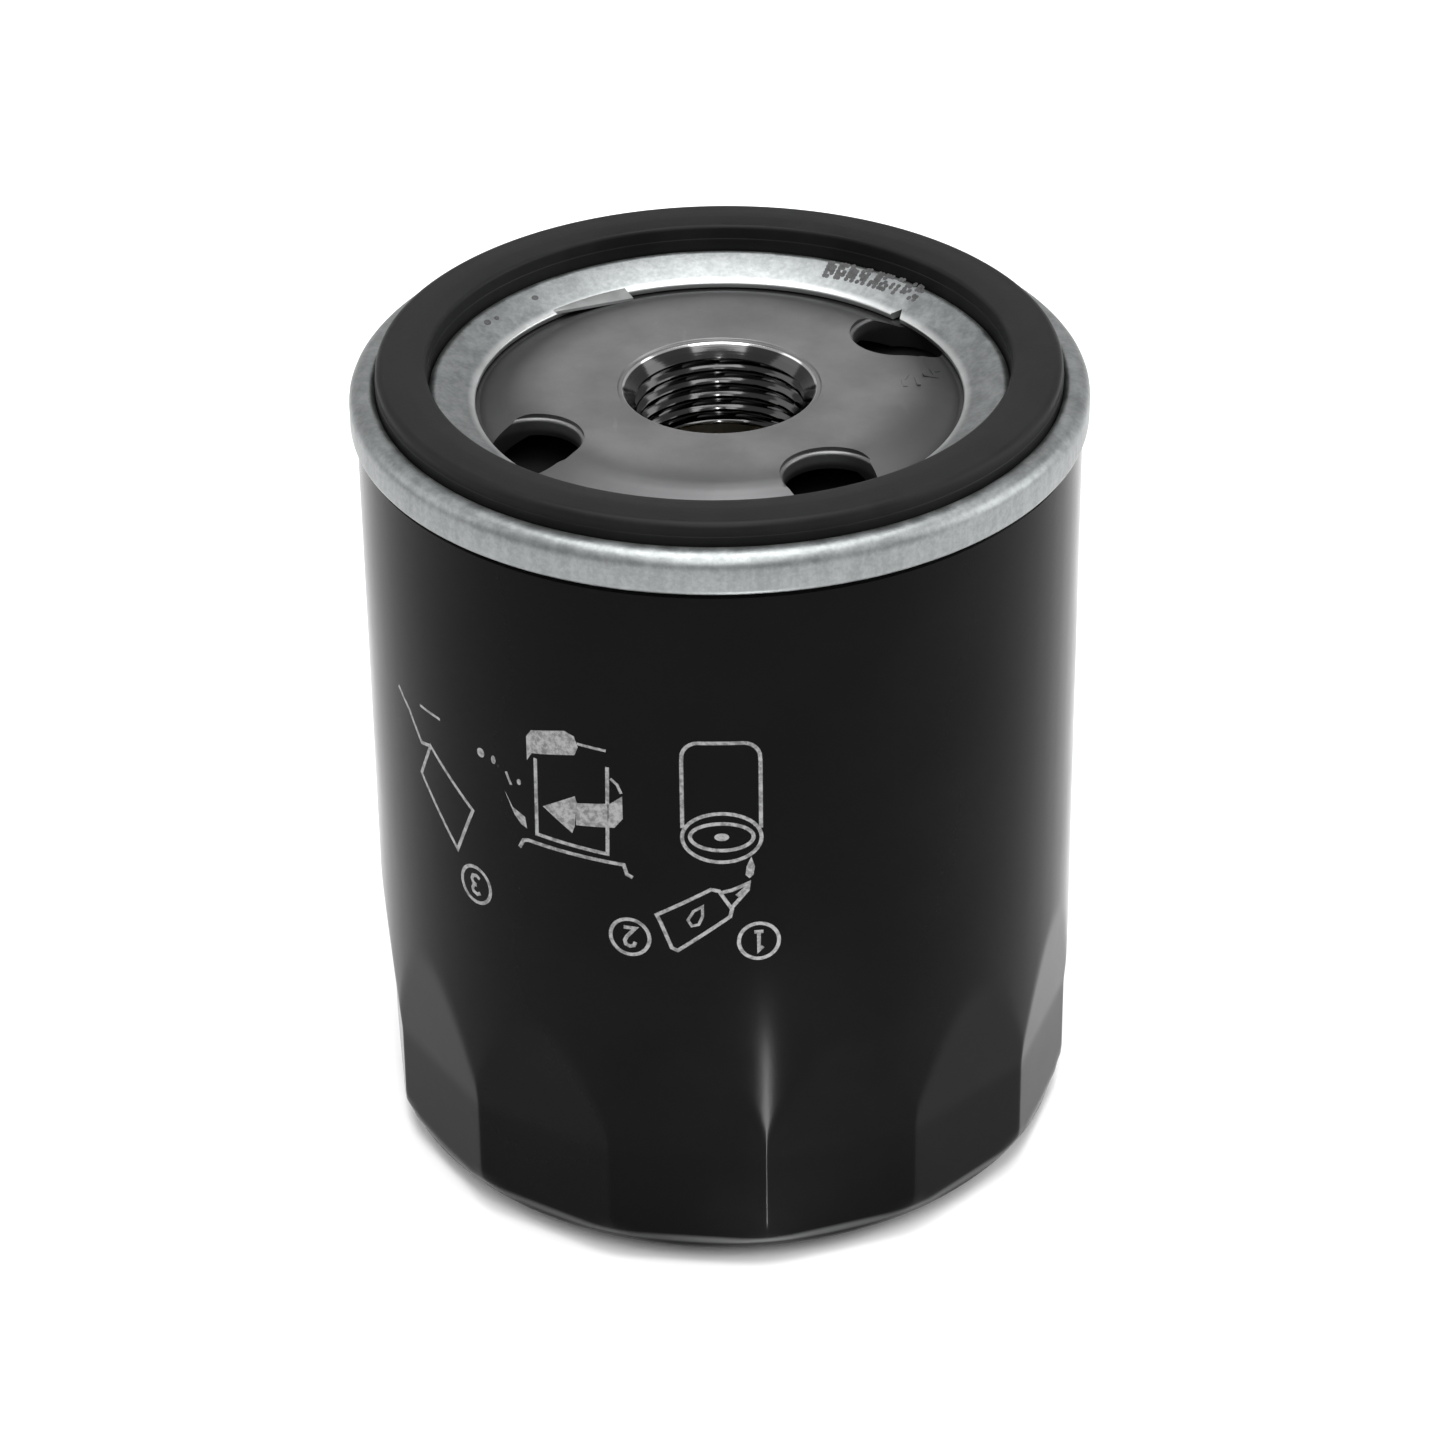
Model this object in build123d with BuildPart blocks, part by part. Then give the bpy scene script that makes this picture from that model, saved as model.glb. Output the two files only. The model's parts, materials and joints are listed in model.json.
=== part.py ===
from build123d import *
import os
from math import cos, pi, radians, sin, tan

# Spin-on oil filter, standing on its closed end with the sealing gasket on top.
# Millimetres. The origin is the centre of the closed end's foot and +Z points to the engine side.

os.makedirs("parts", exist_ok=True)

# ---- driving dimensions -------------------------------------------------------------------

overall_height = 89.8
can_radius = 37.6
can_sheet = 0.4
seam_radius = 38.25
lid_sheet = 0.7

# closed end of the can
foot_corner_radius = 6.4
foot_inner_radius = 26.5
foot_inner_rounding = 1.0
recess_depth = 1.5
recess_slope = 36.0

# wrench flats pressed into the lower end of the can
flat_count = 14
flat_apothem = 36.45
flat_height = 14.0
flat_runout_height = 28.5
flat_ridge_azimuth = 6.0
flat_ridge_rounding = 3.0
flare_overrun = 1.5

# sealing gasket and the lid around it
gasket_outer_radius = 35.5
gasket_inner_radius = 30.1
gasket_height = 6.4
gasket_edge_rounding = 0.7
lid_inner_radius = 25.3
lid_inner_level = overall_height - 4.5
lid_slope = 24.0
lid_bend = 0.5
seam_top = overall_height - 2.2
seam_bottom = overall_height - 6.6
seam_crown_rounding = 1.6
neck_radius = 37.05
neck_height = 0.5
play = 0.05

# base plate with its threaded collar
thread_minor_radius = 8.75
plate_thickness = 2.3
plateau_top = overall_height - 3.45
plateau_radius = 21.0
flange_radius = 24.9
weld_gap = 0.01
collar_radius = 11.0
collar_bottom = 76.8
crown_radius = 13.0
lip_inner_radius = 10.1
lip_drop = 0.2
inlet_radius = 4.8
inlet_pitch_radius = 21.9
inlet_azimuths = [-59.7, 30.3, 120.3]

# filter element
element_radius = 30.0
element_sheet = 0.4
tube_inner_radius = 14.0
tube_sheet = 0.5
element_bottom = 11.0
element_top = 77.0
potting_depth = 1.6
media_inner_radius = 14.7
media_outer_radius = 29.3
media_thickness = 0.6
pleat_count = 40

# bypass valve inside the centre tube
seat_radius = 6.5
disc_radius = 8.6
cage_radius = 10.0
cage_sheet = 0.6
cage_top = 24.6
stem_radius = 1.5
spring_wire_radius = 0.4
spring_radius = 5.0
spring_turns = 5

# ---- derived levels -----------------------------------------------------------------------

lid_rise = tan(radians(lid_slope))
lid_upright_sheet = lid_sheet / cos(radians(lid_slope))
flange_top = lid_inner_level - lid_upright_sheet - weld_gap
flange_bottom = flange_top - plate_thickness
plateau_bottom = plateau_top - plate_thickness
groove_floor = overall_height - gasket_height
media_bottom = element_bottom + element_sheet + potting_depth
media_top = element_top - element_sheet - potting_depth
tube_bottom = element_bottom + element_sheet
tube_top = element_top - element_sheet


# ---- shared outlines ----------------------------------------------------------------------


def spoke_point(radius, azimuth):
    """A point at an azimuth in degrees, counted from -Y towards +X."""
    return (radius * sin(radians(azimuth)), -radius * cos(radians(azimuth)))


def can_form(inset):
    """The solid inside the can's outer surface, drawn in by an inset on every side."""
    recess_shift = inset * tan(radians(recess_slope / 2))
    recess_run = recess_depth / tan(radians(recess_slope))
    open_end = overall_height + 10
    with BuildPart() as facets:
        with BuildSketch() as low_section:
            RegularPolygon(flat_apothem - inset, flat_count, major_radius=False,
                           rotation=flat_ridge_azimuth - 90)
            fillet(low_section.vertices(), flat_ridge_rounding)
        extrude(amount=flat_height)
        flare = (can_radius - flat_apothem) / (flat_runout_height - flat_height)
        flare_height = flare_overrun * (flat_runout_height - flat_height)
        with BuildSketch(Plane.XY.offset(flat_height)) as flare_start:
            add(low_section.sketch)
        with BuildSketch(Plane.XY.offset(flat_height + flare_height)) as flare_end:
            RegularPolygon(flat_apothem + flare * flare_height - inset, flat_count,
                           major_radius=False, rotation=flat_ridge_azimuth - 90)
            fillet(flare_end.vertices(), flat_ridge_rounding)
        loft([flare_start.sketch, flare_end.sketch], ruled=True)
        with BuildSketch(Plane.XY.offset(flat_height + flare_height)):
            Circle(can_radius + 5)
        extrude(amount=open_end)
    with BuildPart() as form:
        with BuildSketch(Plane.XZ) as half_section:
            Polygon(
                (0, recess_depth + inset),
                (foot_inner_radius - recess_run + recess_shift, recess_depth + inset),
                (foot_inner_radius + recess_shift, inset),
                (can_radius - inset, inset),
                (can_radius - inset, seam_bottom - neck_height),
                (neck_radius - inset, seam_bottom),
                (neck_radius - inset, open_end),
                (0, open_end),
                align=None,
            )
            foot_corners = half_section.vertices().group_by(Axis.Y)[0].sort_by(Axis.X)
            fillet(foot_corners[1], foot_corner_radius - inset)
            fillet(foot_corners[0], foot_inner_rounding - inset)
        revolve(axis=Axis.Z)
        add(facets.part, mode=Mode.INTERSECT)
    return form


# ---- casing -------------------------------------------------------------------------------

can_inside = can_form(can_sheet)
can_outside = can_form(0)
can_rim = seam_top - seam_crown_rounding - play
can_fold_bottom = seam_bottom + lid_sheet + play
can_fold_radius = seam_radius - lid_sheet - play
can_fold_bevel = 0.2

with BuildPart() as can:
    add(can_outside.part)
    with BuildSketch(Plane.XY.offset(can_rim)):
        Circle(can_radius + 10)
    extrude(amount=overall_height, mode=Mode.SUBTRACT)
    with BuildSketch(Plane.XZ):
        Polygon(
            (neck_radius - can_sheet / 2, can_fold_bottom),
            (can_fold_radius - can_fold_bevel, can_fold_bottom),
            (can_fold_radius, can_fold_bottom + can_fold_bevel),
            (can_fold_radius, can_rim - can_fold_bevel),
            (can_fold_radius - can_fold_bevel, can_rim),
            (neck_radius - can_sheet / 2, can_rim),
            align=None,
        )
    revolve(axis=Axis.Z)
    add(can_inside.part, mode=Mode.SUBTRACT)
can.part.label = "can"
export_step(can.part, "parts/can.step")

lid_middle = lid_inner_level - lid_upright_sheet / 2
groove_wall_radius = gasket_inner_radius - play - lid_sheet / 2
lid_crest = lid_middle + (groove_wall_radius - lid_inner_radius) * lid_rise
chuck_wall_radius = gasket_outer_radius + play + lid_sheet / 2
skirt_radius = seam_radius - lid_sheet / 2
seam_crown_bend = seam_crown_rounding - lid_sheet / 2
tang_start = -137.0
tang_end = -157.0
tang_reach = 2.0
tang_root_radius = 26.3
tang_sheet = 0.35
notch_azimuth = 132.0
notch_radius = 0.9

with BuildPart() as seaming_lid:
    with BuildSketch(Plane.XZ):
        with BuildLine() as lid_path:
            FilletPolyline(
                (lid_inner_radius, lid_middle),
                (groove_wall_radius, lid_crest),
                (groove_wall_radius, groove_floor - lid_sheet / 2),
                (chuck_wall_radius, groove_floor - lid_sheet / 2),
                (chuck_wall_radius, seam_top - lid_sheet / 2),
                (skirt_radius, seam_top - lid_sheet / 2),
                (skirt_radius, seam_bottom + lid_sheet / 2),
                (neck_radius + play, seam_bottom + lid_sheet / 2),
                radius=[lid_bend, lid_bend, lid_bend, lid_bend, seam_crown_bend, lid_bend],
            )
        trace(line_width=lid_sheet)
    revolve(axis=Axis.Z)
    # the tang left by the blanking tool, lying on the base plate's shoulder
    with BuildSketch(Plane.XY.offset(lid_inner_level)):
        Polygon(
            spoke_point(tang_root_radius, tang_start),
            spoke_point(tang_root_radius, (tang_start + tang_end) / 2),
            spoke_point(tang_root_radius, tang_end),
            spoke_point(lid_inner_radius - tang_reach, tang_end),
            align=None,
        )
    extrude(amount=tang_sheet)
    # the small locating notch
    with BuildSketch(Plane.XY.offset(flange_top)):
        with Locations((*spoke_point(lid_inner_radius, notch_azimuth), 0)):
            RegularPolygon(notch_radius, 3, rotation=notch_azimuth - 90)
    extrude(amount=3 * lid_sheet, mode=Mode.SUBTRACT)
seaming_lid.part.label = "seaming_lid"
export_step(seaming_lid.part, "parts/seaming_lid.step")

sealant_gap = 0.02
sealant_inner = gasket_outer_radius + play + lid_sheet + sealant_gap
sealant_outer = can_fold_radius - can_fold_bevel
sealant_top = seam_top - lid_sheet - sealant_gap
sealant_bevel = 0.3
sealant_bottom = groove_floor + sealant_bevel
sealant_shoulder = sealant_inner + sealant_bevel
sealant_fold_top = can_rim + 0.5

with BuildPart() as seam_sealant:
    with BuildSketch(Plane.XZ):
        Polygon(
            (sealant_inner, sealant_bottom),
            (neck_radius - can_sheet, sealant_bottom),
            (neck_radius - can_sheet, can_rim),
            (sealant_outer, can_rim),
            (sealant_outer - can_fold_bevel, sealant_fold_top),
            (sealant_shoulder, sealant_top),
            (sealant_inner + lid_bend / 2, sealant_top),
            (sealant_inner, sealant_top - lid_bend / 2),
            align=None,
        )
    revolve(axis=Axis.Z)
seam_sealant.part.label = "seam_sealant"
export_step(seam_sealant.part, "parts/seam_sealant.step")

with BuildPart() as sealing_gasket:
    with BuildSketch(Plane.XZ) as gasket_section:
        Polygon(
            (gasket_inner_radius, groove_floor),
            (gasket_outer_radius, groove_floor),
            (gasket_outer_radius, overall_height),
            (gasket_inner_radius, overall_height),
            align=None,
        )
        fillet(gasket_section.vertices(), gasket_edge_rounding)
    revolve(axis=Axis.Z)
sealing_gasket.part.label = "sealing_gasket"
export_step(sealing_gasket.part, "parts/sealing_gasket.step")

plate_edge_gap = 0.25
plate_radius = groove_wall_radius - lid_sheet / 2 - plate_edge_gap
lip_top = plateau_top - lip_drop
thread_start = lip_top - (lip_inner_radius - thread_minor_radius)
collar_chamfer = 0.4
drawn_rounding = 2.0
shoulder_rounding = 6.0
collar_root_rounding = 0.8

with BuildPart() as base_plate:
    with BuildSketch(Plane.XZ) as plate_section:
        Polygon(
            (thread_minor_radius, collar_bottom + collar_chamfer),
            (thread_minor_radius + collar_chamfer, collar_bottom),
            (collar_radius, collar_bottom),
            (collar_radius, plateau_bottom),
            (plateau_radius - plate_thickness / 4, plateau_bottom),
            (flange_radius - plate_thickness / 4, flange_bottom),
            (plate_radius, flange_bottom),
            (plate_radius, flange_top),
            (flange_radius, flange_top),
            (plateau_radius, plateau_top),
            (crown_radius, plateau_top),
            (lip_inner_radius, lip_top),
            (thread_minor_radius, thread_start),
            align=None,
        )
        drawn_corner = plate_section.vertices().sort_by_distance((crown_radius, plateau_top))[0]
        fillet(drawn_corner, drawn_rounding)
        shoulder = plate_section.vertices().sort_by_distance((plateau_radius, plateau_top))[0]
        fillet(shoulder, shoulder_rounding)
        collar_root = plate_section.vertices().sort_by_distance((collar_radius, plateau_bottom))[0]
        fillet(collar_root, collar_root_rounding)
    revolve(axis=Axis.Z)
    with BuildSketch(Plane.XY.offset(flange_bottom)):
        with Locations(*[spoke_point(inlet_pitch_radius, azimuth) for azimuth in inlet_azimuths]):
            Circle(inlet_radius)
    extrude(amount=2 * plate_thickness, mode=Mode.SUBTRACT)
base_plate.part.label = "base_plate"
export_step(base_plate.part, "parts/base_plate.step")

# ---- anti-drain valve ---------------------------------------------------------------------

sleeve_inner = collar_radius + 0.1
sleeve_outer = 12.5
sleeve_bottom = 75.6
valve_seat_radius = 27.6
lip_tip_radius = 28.9
# the diaphragm's two sides, as radii and depths under the base plate's flange
valve_under_side = [(sleeve_outer, 4.8), (14.4, 3.3), (20.0, 2.5), (26.6, 1.4), (lip_tip_radius, 0.8)]
valve_upper_side = [(lip_tip_radius, play), (valve_seat_radius, play), (26.4, 0.5), (20.0, 1.4), (13.6, 1.9),
                    (sleeve_inner, 2.4)]

with BuildPart() as anti_drain_valve:
    with BuildSketch(Plane.XZ):
        Polygon(
            (sleeve_inner, sleeve_bottom),
            (sleeve_outer, sleeve_bottom),
            *[(radius, flange_bottom - depth) for radius, depth in valve_under_side + valve_upper_side],
            align=None,
        )
    revolve(axis=Axis.Z)
anti_drain_valve.part.label = "anti_drain_valve"
export_step(anti_drain_valve.part, "parts/anti_drain_valve.step")

# ---- filter element -----------------------------------------------------------------------

cap_rim_depth = 3.0
cap_bend = 0.5
cap_neck_depth = 4.0
cap_neck_radius = sleeve_outer + play + element_sheet / 2
cap_rim_radius = element_radius - element_sheet / 2
seat_neck_outer = seat_radius + 2.5

with BuildPart() as top_end_cap:
    with BuildSketch(Plane.XZ):
        with BuildLine():
            FilletPolyline(
                (cap_neck_radius, element_top - cap_neck_depth),
                (cap_neck_radius, element_top - element_sheet / 2),
                (cap_rim_radius, element_top - element_sheet / 2),
                (cap_rim_radius, element_top - cap_rim_depth),
                radius=cap_bend,
            )
        trace(line_width=element_sheet)
    revolve(axis=Axis.Z)
top_end_cap.part.label = "top_end_cap"
export_step(top_end_cap.part, "parts/top_end_cap.step")

with BuildPart() as bottom_end_cap:
    with BuildSketch(Plane.XZ):
        with BuildLine():
            FilletPolyline(
                (seat_neck_outer, element_bottom + element_sheet / 2),
                (cap_rim_radius, element_bottom + element_sheet / 2),
                (cap_rim_radius, element_bottom + cap_rim_depth),
                radius=cap_bend,
            )
        trace(line_width=element_sheet)
    revolve(axis=Axis.Z)
bottom_end_cap.part.label = "bottom_end_cap"
export_step(bottom_end_cap.part, "parts/bottom_end_cap.step")

potting_inner = tube_inner_radius + tube_sheet
potting_outer = element_radius - element_sheet - play
potting_corner = cap_bend + 0.1

with BuildPart() as top_potting:
    with BuildSketch(Plane.XZ):
        Polygon(
            (potting_inner, media_top),
            (potting_outer, media_top),
            (potting_outer, tube_top - potting_corner),
            (potting_outer - potting_corner, tube_top),
            (potting_inner, tube_top),
            align=None,
        )
    revolve(axis=Axis.Z)
top_potting.part.label = "top_potting"
export_step(top_potting.part, "parts/top_potting.step")

with BuildPart() as bottom_potting:
    with BuildSketch(Plane.XZ):
        Polygon(
            (potting_inner, media_bottom),
            (potting_outer, media_bottom),
            (potting_outer, tube_bottom + potting_corner),
            (potting_outer - potting_corner, tube_bottom),
            (potting_inner, tube_bottom),
            align=None,
        )
    revolve(axis=Axis.Z)
bottom_potting.part.label = "bottom_potting"
export_step(bottom_potting.part, "parts/bottom_potting.step")

hole_rows = 9
holes_round = 10
tube_hole_radius = 2.0
row_pitch = (tube_top - tube_bottom) / (hole_rows + 1)

with BuildPart() as center_tube:
    with BuildSketch(Plane.XY.offset(tube_bottom)):
        Circle(tube_inner_radius + tube_sheet)
        Circle(tube_inner_radius, mode=Mode.SUBTRACT)
    extrude(amount=tube_top - tube_bottom)
    hole_places = [
        Location((0, 0, tube_bottom + (row + 1) * row_pitch), (90, (hole + row % 2 / 2) * 360 / holes_round, 0))
        for row in range(hole_rows)
        for hole in range(holes_round // 2)
    ]
    with Locations(*hole_places):
        Cylinder(tube_hole_radius, 3 * tube_inner_radius, mode=Mode.SUBTRACT)
center_tube.part.label = "center_tube"
export_step(center_tube.part, "parts/center_tube.step")

pleat_angle = 360 / pleat_count
tip_half_width = 0.9
root_half_width = 0.75
tip_half_inside = 0.3
root_half_inside = 0.2


def pleat_line(tip_radius, tip_half, root_radius, root_half):
    """A closed zigzag with a flat at every tip and root, leaving out the pleat at azimuth zero."""
    points = []
    for pleat in range(1, pleat_count):
        middle = pleat * pleat_angle
        root = middle + pleat_angle / 2
        for side in (-1, 1):
            x, y = spoke_point(tip_radius, middle)
            points.append((x + side * tip_half * cos(radians(middle)), y + side * tip_half * sin(radians(middle))))
        if pleat < pleat_count - 1:
            for side in (-1, 1):
                x, y = spoke_point(root_radius, root)
                points.append((x + side * root_half * cos(radians(root)), y + side * root_half * sin(radians(root))))
    return points


def seam_pleat(root_radius):
    """The two roots either side of the glued pleat, which closes the zigzag."""
    return [spoke_point(root_radius, -pleat_angle / 2), spoke_point(root_radius, pleat_angle / 2)]


seam_pleat_length = 11.5
seam_pleat_start = media_inner_radius + 0.1

with BuildPart() as filter_media:
    with BuildSketch(Plane.XY.offset(media_bottom)):
        Polygon(
            *pleat_line(media_outer_radius, tip_half_width, media_inner_radius + media_thickness, root_half_inside),
            *seam_pleat(media_inner_radius + media_thickness),
            align=None,
        )
        Polygon(
            *pleat_line(media_outer_radius - media_thickness, tip_half_inside, media_inner_radius, root_half_width),
            *seam_pleat(media_inner_radius),
            align=None,
            mode=Mode.SUBTRACT,
        )
        with Locations(spoke_point(seam_pleat_start + seam_pleat_length / 2, 0)):
            Rectangle(2 * media_thickness, seam_pleat_length)
    extrude(amount=media_top - media_bottom)
filter_media.part.label = "filter_media"
export_step(filter_media.part, "parts/filter_media.step")

clip_sheet = 0.3
clip_length = 6.0
seam_pleat_tip = seam_pleat_start + seam_pleat_length

with BuildPart() as media_seam_clip:
    with BuildSketch(Plane.XY.offset(media_bottom)):
        with Locations(spoke_point(seam_pleat_tip + clip_sheet - clip_length / 2, 0)):
            Rectangle(2 * (media_thickness + clip_sheet), clip_length)
        with Locations(spoke_point(seam_pleat_tip - clip_length / 2, 0)):
            Rectangle(2 * media_thickness, clip_length, mode=Mode.SUBTRACT)
    extrude(amount=media_top - media_bottom)
media_seam_clip.part.label = "media_seam_clip"
export_step(media_seam_clip.part, "parts/media_seam_clip.step")

# ---- bypass valve -------------------------------------------------------------------------

seat_flange_radius = 12.0
seat_flange_top = tube_bottom + 0.5
seat_lip_top = tube_bottom + 1.2
seat_lip_radius = seat_radius + 0.6
seat_neck_bottom = element_bottom - 0.6

with BuildPart() as bypass_seat:
    with BuildSketch(Plane.XZ):
        Polygon(
            (seat_radius, seat_neck_bottom),
            (seat_neck_outer, seat_neck_bottom),
            (seat_neck_outer, tube_bottom),
            (seat_flange_radius, tube_bottom),
            (seat_flange_radius, seat_flange_top),
            (seat_lip_radius, seat_flange_top),
            (seat_lip_radius, seat_lip_top),
            (seat_radius, seat_lip_top),
            align=None,
        )
    revolve(axis=Axis.Z)
bypass_seat.part.label = "bypass_seat"
export_step(bypass_seat.part, "parts/bypass_seat.step")

disc_sheet = 0.6
disc_edge_rounding = 0.2
seal_inner_radius = 3.5
seal_overhang = 0.2
seal_bottom = seat_lip_top + play
disc_bottom = seal_bottom + disc_sheet
disc_top = disc_bottom + disc_sheet

with BuildPart() as bypass_seal:
    with BuildSketch(Plane.XY.offset(seal_bottom)):
        Circle(disc_radius - seal_overhang)
        Circle(seal_inner_radius, mode=Mode.SUBTRACT)
    extrude(amount=disc_bottom - seal_bottom)
bypass_seal.part.label = "bypass_seal"
export_step(bypass_seal.part, "parts/bypass_seal.step")

with BuildPart() as bypass_disc:
    with BuildSketch(Plane.XY.offset(disc_bottom)):
        Circle(disc_radius)
        Circle(stem_radius, mode=Mode.SUBTRACT)
    extrude(amount=disc_top - disc_bottom)
    fillet(bypass_disc.edges().group_by(Axis.Z)[-1].sort_by(SortBy.RADIUS)[-1], disc_edge_rounding)
bypass_disc.part.label = "bypass_disc"
export_step(bypass_disc.part, "parts/bypass_disc.step")

stem_length = 14.0
stem_head_radius = 3.0
stem_chamfer = 0.3
stem_play = 0.06

with BuildPart() as bypass_stem:
    with BuildSketch(Plane.XY.offset(seal_bottom)):
        Circle(stem_head_radius)
    extrude(amount=disc_bottom - seal_bottom)
    with BuildSketch(Plane.XY.offset(disc_bottom)):
        Circle(stem_radius)
    extrude(amount=stem_length)
    chamfer(bypass_stem.edges().group_by(Axis.Z)[-1], stem_chamfer)
bypass_stem.part.label = "bypass_stem"
export_step(bypass_stem.part, "parts/bypass_stem.step")

cage_window_count = 4
cage_window_width = 7.0
cage_window_bottom = seat_flange_top + 1.6
cage_window_top = cage_top - 3.0

with BuildPart() as bypass_cage:
    with BuildSketch(Plane.XZ):
        with BuildLine():
            FilletPolyline(
                (seat_flange_radius, seat_flange_top + cage_sheet / 2),
                (cage_radius - cage_sheet / 2, seat_flange_top + cage_sheet / 2),
                (cage_radius - cage_sheet / 2, cage_top - cage_sheet / 2),
                (stem_radius + stem_play, cage_top - cage_sheet / 2),
                radius=cage_sheet,
            )
        trace(line_width=cage_sheet)
    revolve(axis=Axis.Z)
    with BuildSketch(Plane.XY.offset(cage_window_bottom)):
        with PolarLocations(cage_radius, cage_window_count):
            Rectangle(4 * cage_sheet, cage_window_width)
    extrude(amount=cage_window_top - cage_window_bottom, mode=Mode.SUBTRACT)
bypass_cage.part.label = "bypass_cage"
export_step(bypass_cage.part, "parts/bypass_cage.step")

spring_play = 0.02
spring_bottom = disc_top + spring_wire_radius + spring_play
spring_top = cage_top - cage_sheet - spring_wire_radius - spring_play
spring_pitch = (spring_top - spring_bottom) / spring_turns

with BuildPart() as bypass_spring:
    with BuildLine() as spring_path:
        Helix(spring_pitch, spring_top - spring_bottom, spring_radius, center=(0, 0, spring_bottom))
    with BuildSketch(Plane(spring_path.line @ 0, z_dir=spring_path.line % 0)):
        Circle(spring_wire_radius)
    sweep(is_frenet=True)
bypass_spring.part.label = "bypass_spring"
export_step(bypass_spring.part, "parts/bypass_spring.step")

# ---- leaf spring under the element --------------------------------------------------------

leaf_sheet = 0.8
leaf_width = 8.0
leaf_ring_inner = 10.0
leaf_ring_outer = 15.0
leaf_foot = recess_depth + can_sheet
leaf_count = 4
leaf_bend = 1.2
leaf_foot_radius = 21.0
leaf_tip_radius = 24.0
leaf_tip_lift = 0.6
leaf_root_radius = leaf_ring_outer - 3.0
leaf_shoulder_radius = leaf_ring_outer + 0.5

with BuildPart() as element_spring:
    with BuildSketch(Plane.XY.offset(element_bottom - leaf_sheet)):
        Circle(leaf_ring_outer)
        Circle(leaf_ring_inner, mode=Mode.SUBTRACT)
    extrude(amount=leaf_sheet)
    for leaf in range(leaf_count):
        leaf_plane = Plane.XZ.rotated((0, 0, 45 + leaf * 360 / leaf_count))
        with BuildSketch(leaf_plane):
            with BuildLine():
                FilletPolyline(
                    (leaf_root_radius, element_bottom - leaf_sheet / 2),
                    (leaf_shoulder_radius, element_bottom - leaf_sheet / 2),
                    (leaf_foot_radius, leaf_foot + leaf_sheet / 2),
                    (leaf_tip_radius, leaf_foot + leaf_sheet / 2 + leaf_tip_lift),
                    radius=leaf_bend,
                )
            trace(line_width=leaf_sheet)
        extrude(amount=leaf_width / 2, both=True)
element_spring.part.label = "element_spring"
export_step(element_spring.part, "parts/element_spring.step")
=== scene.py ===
import json
import random
from math import cos, exp, log, pi, radians, sin, tan

import bmesh
import bpy
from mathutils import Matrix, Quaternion, Vector


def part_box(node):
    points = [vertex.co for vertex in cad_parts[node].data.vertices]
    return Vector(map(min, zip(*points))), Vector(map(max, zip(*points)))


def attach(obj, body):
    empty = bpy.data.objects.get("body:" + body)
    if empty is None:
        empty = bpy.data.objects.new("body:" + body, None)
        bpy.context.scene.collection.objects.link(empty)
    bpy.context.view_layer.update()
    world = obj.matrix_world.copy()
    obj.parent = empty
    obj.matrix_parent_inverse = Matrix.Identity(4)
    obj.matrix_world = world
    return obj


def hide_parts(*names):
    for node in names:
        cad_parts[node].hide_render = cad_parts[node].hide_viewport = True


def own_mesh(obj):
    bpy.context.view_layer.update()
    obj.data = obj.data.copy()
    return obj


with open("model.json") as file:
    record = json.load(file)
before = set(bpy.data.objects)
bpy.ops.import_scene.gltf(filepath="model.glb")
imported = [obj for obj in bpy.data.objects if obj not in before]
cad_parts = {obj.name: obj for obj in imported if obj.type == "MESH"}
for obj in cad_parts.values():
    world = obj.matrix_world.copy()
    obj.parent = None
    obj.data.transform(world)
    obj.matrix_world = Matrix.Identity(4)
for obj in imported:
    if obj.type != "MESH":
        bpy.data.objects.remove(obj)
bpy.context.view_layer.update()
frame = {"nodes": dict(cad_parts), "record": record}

# Looks of a spin-on oil filter. Lengths in the shape code are millimetres, and MM turns them into
# metres where a mesh is made. Azimuths are in degrees from -Y towards +X.

MM = 0.001


# ---- sizes read from the frame ------------------------------------------------------------


def extent(node):
    """The largest radius and the lowest and highest level of a CAD node, in millimetres."""
    low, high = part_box(node)
    return high.x / MM, low.z / MM, high.z / MM


seam_radius = extent("seaming_lid")[0]
gasket_radius, gasket_low, gasket_top = extent("sealing_gasket")
plate_radius, collar_low, plate_top = extent("base_plate")
valve_radius, valve_low, valve_top = extent("anti_drain_valve")
can_rim = extent("can")[2]
thread_mount = next(m for m in frame["record"]["mounts"] if m["name"] == "stud_thread")
thread_minor = thread_mount["dims"]["r_mm"]

# ---- shape dimensions, as in the CAD ------------------------------------------------------

can_radius = seam_radius - 0.65
neck_radius = can_radius - 0.55
can_sheet = 0.4
lid_sheet = 0.7
lid_inner = 25.3
lid_edge_level = gasket_top - 4.5
lid_slope = radians(24.0)
lid_rise = tan(lid_slope)
seam_top = gasket_top - 2.2
seam_bottom = gasket_top - 6.6
gasket_inner = 30.1
plate_thickness = 2.3
lid_upright = lid_sheet / cos(lid_slope)
flange_top = lid_edge_level - lid_upright - 0.01
flange_low = flange_top - plate_thickness
plateau_radius = 21.0
flange_radius = 24.9
play = 0.05


# ---- mesh helpers -------------------------------------------------------------------------


def spoke(radius, azimuth):
    """The point at a radius and azimuth."""
    return radius * sin(radians(azimuth)), -radius * cos(radians(azimuth))


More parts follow.
